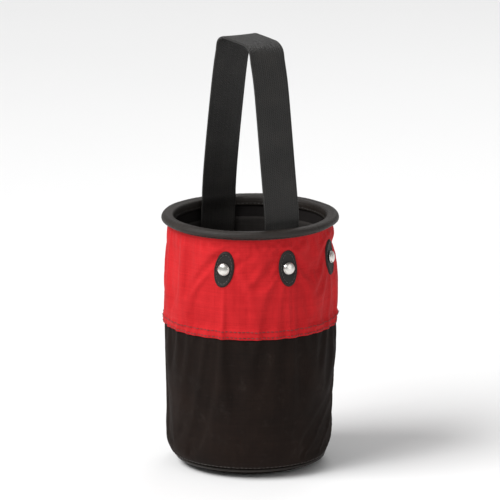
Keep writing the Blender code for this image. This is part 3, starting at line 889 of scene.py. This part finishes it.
def build_pockets():
    """The ring of pockets: a backing cloth, and a front that is sewn to it between them."""
    z = np.linspace(POCKET_FLOOR, POCKET_TOP, 60)[:, None]
    backing = wrapped_sheet("pocket_backing", polar(inside_radius(z, BACKING_DEPTH), ROUND, z))
    finish_piece(backing, POCKET_CLOTH, "pocket_cloth", "pocket_ring", thickness=POCKET)
    rise = np.linspace(0, 1, 54)[:, None]
    height = POCKET_START + rise * (pocket_mouth_height(ROUND) - POCKET_START)
    points = polar(pocket_radius(ROUND, rise), ROUND, height)
    fronts = wrapped_sheet("pocket_fronts", points)
    finish_piece(fronts, POCKET_CLOTH, "pocket_cloth", thickness=POCKET, smooth=1)
    rows = []
    for index, seam in enumerate(turn_steps(POCKETS)):
        inward = (-math.cos(seam), -math.sin(seam), 0.0)
        for side in (-1, 1):
            rows.append((points[:, (index * AROUND // POCKETS + side) % AROUND], inward))
    stitches("pocket_seam_thread", rows, BLACK_THREAD, "pocket_cloth")
    build_pocket_tape()


def build_pocket_tape():
    """Tape folded over the pockets' mouths."""
    r = pocket_radius(ROUND, AT_MOUTH, extra=-0.4 * MM)
    section = spline([(-1.1, -7.0), (-1.3, -3.5), (-1.2, 0.2), (0, 1.2), (1.2, 0.2), (1.3, -3.5), (1.1, -7.0)], 22) * MM
    points = polar(r + section[:, :1], ROUND, pocket_mouth_height(ROUND) + section[:, 1:])
    across, along = tape_coordinates(path_length(section), TAU * MOUTH_RADIUS)
    item = grid_object("pocket_tape", points[::-1], across, along)
    finish_piece(item, TAPE, "binding", "pocket_binding", thickness=POCKET_TAPE)
    angle = np.linspace(0, TAU, 700)
    radius = pocket_radius(angle[None, :], AT_MOUTH, extra=-1.7 * MM)[0]
    line = polar(radius, angle, pocket_mouth_height(angle) - 5 * MM)
    stitches("pocket_tape_thread", [(line, polar(-1, angle, 0 * angle))], BLACK_THREAD, "binding")


# ---- rivets and patches

PATCH_TILTS = {"right": -2, "left": 3, "front_right": 9, "front_left": -4, "back_right": -3, "back_left": 5}


def patch_place(u, v, tag):
    """Angle and height on the wall of a place on a patch, whose top leans a few degrees to one side."""
    tilt = math.radians(PATCH_TILTS[tag])
    x, y = u * math.cos(tilt) + v * math.sin(tilt), v * math.cos(tilt) - u * math.sin(tilt)
    return math.radians(RIVETS[tag]) + x / wall_radius(RIVET_HEIGHT), RIVET_HEIGHT + y


def patch_bed(theta, z):
    """How far the cloth under a patch stands off, without its deepest folds."""
    return np.clip(band_relief(theta, z), -0.4 * MM, 2 * MM)


def build_patch(tag):
    """An oval of webbing with a bound edge, lying on the cloth. Gives the line of its stitching."""
    rho = np.concatenate([np.linspace(0.02, 0.78, 16), np.linspace(0.8, 1.0, 12)])[:, None]
    phi = turn_steps(72)[None, :]
    u, v = PATCH_WIDE * rho * np.cos(phi), PATCH_HIGH * rho * np.sin(phi)
    theta, z = patch_place(u, v, tag)
    bead = 0.75 * MM * np.exp(-(((rho - 0.89) / 0.06) ** 2))
    height = 0.9 * MM * (1 - np.clip((rho - 0.86) / 0.14, 0, 1) ** 2.5) + bead
    sink = 0.5 * MM * np.exp(-((rho / 0.42) ** 2))
    points = wall_point(theta, z, patch_bed(theta, z) + height - sink + 0.25 * MM)
    item = grid_object(f"patch_{tag}", points[::-1], close_ring(u)[::-1], close_ring(v)[::-1])
    finish_piece(item, PATCH_WEBBING, "binding", f"rivet_patch_{tag}", thickness=PATCH)
    ring = np.linspace(0, TAU, 240)
    theta, z = patch_place(PATCH_WIDE * 0.74 * np.cos(ring), PATCH_HIGH * 0.8 * np.sin(ring), tag)
    return wall_point(theta, z, patch_bed(theta, z) + 1.25 * MM), wall_normal(theta, z)


def turned_object(name, profile, segments=48):
    """A turned solid about Z from an outline that starts and ends on the axis, top to bottom."""
    inner = profile[1:-1]
    rings = polar(inner[:, :1], turn_steps(segments), inner[:, 1:])
    points = np.concatenate([[[0, 0, profile[0, 1]]], rings.reshape(-1, 3), [[0, 0, profile[-1, 1]]]])
    faces = []
    last = 1 + (len(inner) - 1) * segments
    for s in range(segments):
        n = (s + 1) % segments
        faces.append((0, 1 + s, 1 + n))
        for a in range(1, last, segments):
            b = a + segments
            faces.append((a + s, b + s, b + n, a + n))
        faces.append((last + n, last + s, len(points) - 1))
    return new_mesh(name, points, faces)


def build_rivet(tag):
    """Domed head with a flange, a shank and a flat cap inside, which is deeper at the handle's ends. Millimetres."""
    head, seat, cap = 6.0, 1.75, (-7.2 if tag in ("right", "left") else -4.7)
    outline = []
    for a in np.linspace(0, math.pi / 2, 11):
        outline.append((min(head * math.sin(a), head * 0.9), seat + 0.9 + 2.2 * math.cos(a)))
    outline += [(5.64, seat + 0.75), (5.94, seat + 0.55), (head, seat + 0.25), (5.82, seat), (2.4, seat)]
    outline += [(2.4, cap - 0.8), (4.608, cap - 0.8), (4.8, cap - 1.1), (4.56, cap - 1.7), (2.88, cap - 2.3)]
    outline += [(1.44, cap - 2.45), (0, cap - 2.5)]
    item = turned_object(f"rivet_head_{tag}", np.array(outline) * MM)
    angle = math.radians(RIVETS[tag])
    normal = Vector(wall_normal(angle, RIVET_HEIGHT))
    side = Vector((0, 0, 1)).cross(normal).normalized()
    basis = Matrix((side, normal.cross(side), normal)).transposed().to_4x4()
    item.matrix_world = Matrix.Translation(Vector(wall_point(angle, RIVET_HEIGHT))) @ basis
    finish_piece(item, NICKEL, "nickel", f"rivet_{tag}")


def build_fittings():
    lines = []
    for tag in RIVETS:
        lines.append(build_patch(tag))
        build_rivet(tag)
    stitches("patch_thread", lines, GREY_THREAD, "binding", pitch=3.2 * MM, radius=0.28 * MM)


# ---- the handle

WEB_WIDTH, WEB_THICKNESS = 2 * STRAP_HALF - 0.8 * MM, 2.2 * MM
WEB_DEPTH = 6.1 * MM  # of the webbing's middle under the wall's skin, at its riveted ends
HUG_END, HUG_GONE = 226 * MM, 262 * MM  # it is as round as the wall up to here, and flat from here
FOLD_HALF = 18 * MM  # a span this far above and below the hinge, worked out in build_handle and not used
PATH_STEP = 1.2 * MM
FACE_POINTS, EDGE_POINTS = 61, 5  # across each face of the webbing, and round each edge
RIBS = 24


def handle_line():
    """Middle of the webbing from the right tab's end over the top to the left one, as (x, z)."""
    top, side = strap_high.z - 1.2 * MM, strap_high.x - 1.2 * MM
    rise = top - RIM_TOP
    lean_top = side * 0.485
    lean = side - lean_top
    neck = side + 3.6 * MM
    half = [
        (float(wall_radius(TAB_BOTTOM)) - WEB_DEPTH, TAB_BOTTOM),
        (float(wall_radius(RIVET_HEIGHT)) - WEB_DEPTH, RIVET_HEIGHT),
        (neck + 1.4 * MM, 224 * MM),
        (neck, RIM_LIP - 1 * MM),
        (side + 0.6 * MM, RIM_TOP),
        (side - 0.2 * MM, RIM_TOP + 9 * MM),
        (side - 0.20 * lean + 2.2 * MM, RIM_TOP + 0.23 * rise),
        (side - 0.50 * lean + 4.2 * MM, RIM_TOP + 0.5 * rise),
        (side - 0.78 * lean + 4.4 * MM, RIM_TOP + 0.76 * rise),
        (lean_top + 4.6 * MM, top - 16.5 * MM),
        (lean_top + 0.6 * MM, top - 6.8 * MM),
        (lean_top - 7.4 * MM, top - 1.7 * MM),
        (0.42 * lean_top, top - 0.2 * MM),
    ]
    return spline(half + [(-x, z) for x, z in reversed(half)], 700)


def webbing_section():
    """Outline of the webbing: places across it, and heights off its middle, with ribs along both faces."""
    edge = np.linspace(0, math.pi, EDGE_POINTS + 2)[1:-1]
    face = np.linspace(-0.5, 0.5, FACE_POINTS) * (WEB_WIDTH - WEB_THICKNESS)
    bulge = (WEB_WIDTH - WEB_THICKNESS) / 2 + WEB_THICKNESS / 2 * np.sin(edge)
    w = np.concatenate([face, bulge, face[::-1], -bulge])
    h = np.concatenate([np.full(FACE_POINTS, 0.5), 0.5 * np.cos(edge)])
    h = np.concatenate([h, -h]) * WEB_THICKNESS
    rib = 0.10 * MM * np.cos(w / (WEB_WIDTH / RIBS) * TAU) * np.sign(h) * (np.abs(h) > 0.45 * WEB_THICKNESS)
    return w, h + rib


def build_handle():
    """One strip of webbing: its ends hug the wall inside, and the loop between them follows the handle."""
    line = handle_line()
    path = resample(np.stack([line[:, 0], 0 * line[:, 0], line[:, 1]], -1), PATH_STEP)
    x, z = path[:, 0], path[:, 2]
    tangent = path_tangent(path)
    outward = np.stack([tangent[:, 2], 0 * x, -tangent[:, 0]], -1)
    w, h = webbing_section()
    length = path_length(path)
    turn = length / length[-1] * TAU
    loose = ramp(z, RIM_TOP, RIM_TOP + 30 * MM)
    bow = 0.7 * MM * np.sin(turn * 2.5 + 0.6) * loose * ramp(strap_high.z - z, 8 * MM, 40 * MM)
    bend = np.linalg.norm(np.gradient(tangent, axis=0), axis=1) / PATH_STEP
    bend = bend * ramp(z, RIM_TOP + 60 * MM, RIM_TOP + 90 * MM)
    cup = 0.4 * MM * np.sin(turn * 3 + 1.0) * loose + 22 * MM * MM * np.convolve(bend, np.ones(9) / 9, mode="same")
    height = h + bow[:, None] + cup[:, None] * ((w / STRAP_HALF) ** 2 - 0.3)
    points = path[:, None] + outward[:, None] * height[..., None]
    points[..., 1] += w
    radius = np.maximum(np.abs(x), 40 * MM)[:, None]
    drop = radius - np.sqrt(radius**2 - w**2)
    hug = 1 - ramp(z, HUG_END, HUG_GONE)
    points[..., 0] -= np.sign(x)[:, None] * drop * hug[:, None]
    along, across = np.meshgrid(length, np.append(w, w[0]), indexing="ij")
    item = grid_object("handle_webbing", points, across, along)
    close_ends(item, len(path), len(w))
    item.data.materials.append(WEBBING)
    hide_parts("handle_strap", "anchor_tab_right", "anchor_tab_left")
    HINGE[2] - FOLD_HALF
    HINGE[2] + FOLD_HALF
    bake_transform(item)
    build_bar_tacks(points, w)


def close_ends(item, rows, columns):
    """Close a tube's two ends with a strip of faces across each."""
    bm = bmesh.new()
    bm.from_mesh(item.data)
    bm.verts.ensure_lookup_table()
    for first in (0, (rows - 1) * columns):
        ring = [bm.verts[first + i] for i in range(columns)]
        for i in range(columns // 2 - 1):
            bm.faces.new((ring[i], ring[i + 1], ring[columns - 2 - i], ring[columns - 1 - i]))
    bmesh.ops.recalc_face_normals(bm, faces=bm.faces)
    bm.to_mesh(item.data)
    bm.free()
    item.data.shade_smooth()


def build_bar_tacks(points, w):
    """Short dense rows of thread across each riveted end."""
    inner = [FACE_POINTS + EDGE_POINTS + i for i in range(FACE_POINTS) if abs(w[i]) < STRAP_HALF - 4 * MM]
    rows = []
    for row in (3, 5, 7, -4, -6, -8):  # of the webbing's grid, from its right end and its left
        line = resample(points[row, inner], 0.7 * MM)
        rows.append((line, (-np.sign(line[0, 0]), 0.0, 0.0)))
    stitches("handle_tack_thread", rows, GREY_THREAD, "webbing", pitch=2.4 * MM, share=0.8)


# ---- hidden stiff pieces

HOOP_RADIUS, HOOP_DROP, HOOP_WIRE = 83.1 * MM, 3.9 * MM, 1.8 * MM  # drop: from the rim's top
SHEET_GAP = 1.5 * MM  # half the opening between the rolled sheet's ends


def build_stiffener(material):
    """The rolled plastic sheet between the wall's cloth and its lining, open along the back."""
    half_gap = SHEET_GAP / BASE_FLAT
    theta = np.linspace(math.pi / 2 + half_gap, math.pi / 2 + TAU - half_gap, AROUND)
    theta, z = np.broadcast_arrays(theta, wall_heights(8 * MM, RIM_LIP + 8 * MM)[:, None])
    points = wall_skin(theta, z, -STIFFENER_DEPTH)
    item = grid_object("stiffener_roll", points, wall_radius(CORNER) * theta, z)
    finish_piece(item, material, "stiffener_sheet", "wall_stiffener", thickness=STIFFENER)


def build_board(material):
    """The disc that keeps the base flat, with rounded edges."""
    low, high = (c.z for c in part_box("base_board"))
    edge = float(inside_radius(low, 1.3 * MM)) - 0.2 * MM
    profile = [(0, high), (edge - 1 * MM, high), (edge - 0.3 * MM, high - 0.3 * MM), (edge, high - 1 * MM)]
    profile += [(edge, low + 0.6 * MM), (edge - 0.4 * MM, low), (0, low)]
    item = turned_object("base_board_disc", np.array(profile), segments=AROUND)
    finish_piece(item, material, "stiffener_sheet", "base_board")


def build_core():
    """The stiff pieces hidden between the cloths, and the wire hoop inside the rim's tape."""
    sheet = moulded_sheet()
    build_stiffener(sheet)
    build_board(sheet)
    hoop = cord_object("hoop_wire", HOOP_RADIUS, RIM_TOP - HOOP_DROP, HOOP_WIRE)
    finish_piece(hoop, drawn_wire(), "hoop_wire", "rim_hoop")


# ---- floor, light, camera

VIEW_AZIMUTH = math.radians(63)
CAMERA_DISTANCE, CAMERA_RISE = 5.65, 1.32  # from the axis, and above the rim: about 13 degrees down, as in the photo
FRAME_HALF = 0.245  # half of what the camera sees at its target
WORLD_LIGHT = 0.42
LAMPS = {  # toward the camera, to its left and up from the middle; diameter; watts
    "key": (1.2, 1.2, 1.3, 0.9, 22),
    "fill": (1.4, -1.5, 0.5, 1.4, 5),
    "back": (-1.3, -0.4, 1.6, 1.0, 8),
}
SUN_FROM, SUN_POWER, SUN_ANGLE = (0.35, 0.9, 1.25), 2.1, math.radians(28)


def from_view(toward, left, up):
    """A direction given as toward the camera, to its left, and up."""
    sine, cosine = math.sin(VIEW_AZIMUTH), math.cos(VIEW_AZIMUTH)
    return Vector((sine, -cosine, 0)) * toward + Vector((-cosine, -sine, 0)) * left + Vector((0, 0, up))


def stand(name, data, place, target):
    """Put a lamp or the camera in the scene, looking at a point."""
    item = bpy.data.objects.new(name, data)
    item.location = place
    item.rotation_euler = (target - place).to_track_quat("-Z", "Y").to_euler()
    scene.collection.objects.link(item)
    return item


def build_stage():
    bpy.ops.mesh.primitive_plane_add(size=24, location=(0, 0, -0.4 * MM))
    floor = bpy.context.object
    floor.name = "floor"
    floor.data.materials.append(pale_floor())
    world = bpy.data.worlds.new("studio")
    world.use_nodes = True
    background = world.node_tree.nodes["Background"].inputs
    background["Color"].default_value = (1.0, 1.0, 1.0, 1.0)
    background["Strength"].default_value = WORLD_LIGHT
    scene.world = world
    middle = Vector((0, 0, (cad_low.z + cad_high.z) / 2))
    for name, (toward, left, up, size, power) in LAMPS.items():
        lamp = bpy.data.lights.new(name, "AREA")
        lamp.shape = "DISK"
        lamp.size, lamp.energy = size, power
        stand(name, lamp, middle + from_view(toward, left, up), middle)
    sun = bpy.data.lights.new("daylight", "SUN")
    sun.energy, sun.angle = SUN_POWER, SUN_ANGLE
    stand("daylight", sun, Vector(), -from_view(*SUN_FROM))
    place = from_view(CAMERA_DISTANCE, 0, RIM_TOP + CAMERA_RISE)
    lens = bpy.data.cameras.new("camera")
    lens.angle = 2 * math.atan(FRAME_HALF / (place - middle).length)
    lens.clip_end = 50
    scene.camera = stand("camera", lens, place, middle)


build_body()
build_base()
build_band()
build_rim()
build_seam_tape()
build_lining()
build_pockets()
build_fittings()
build_handle()
build_core()
build_stage()
scene.view_settings.view_transform = "Standard"
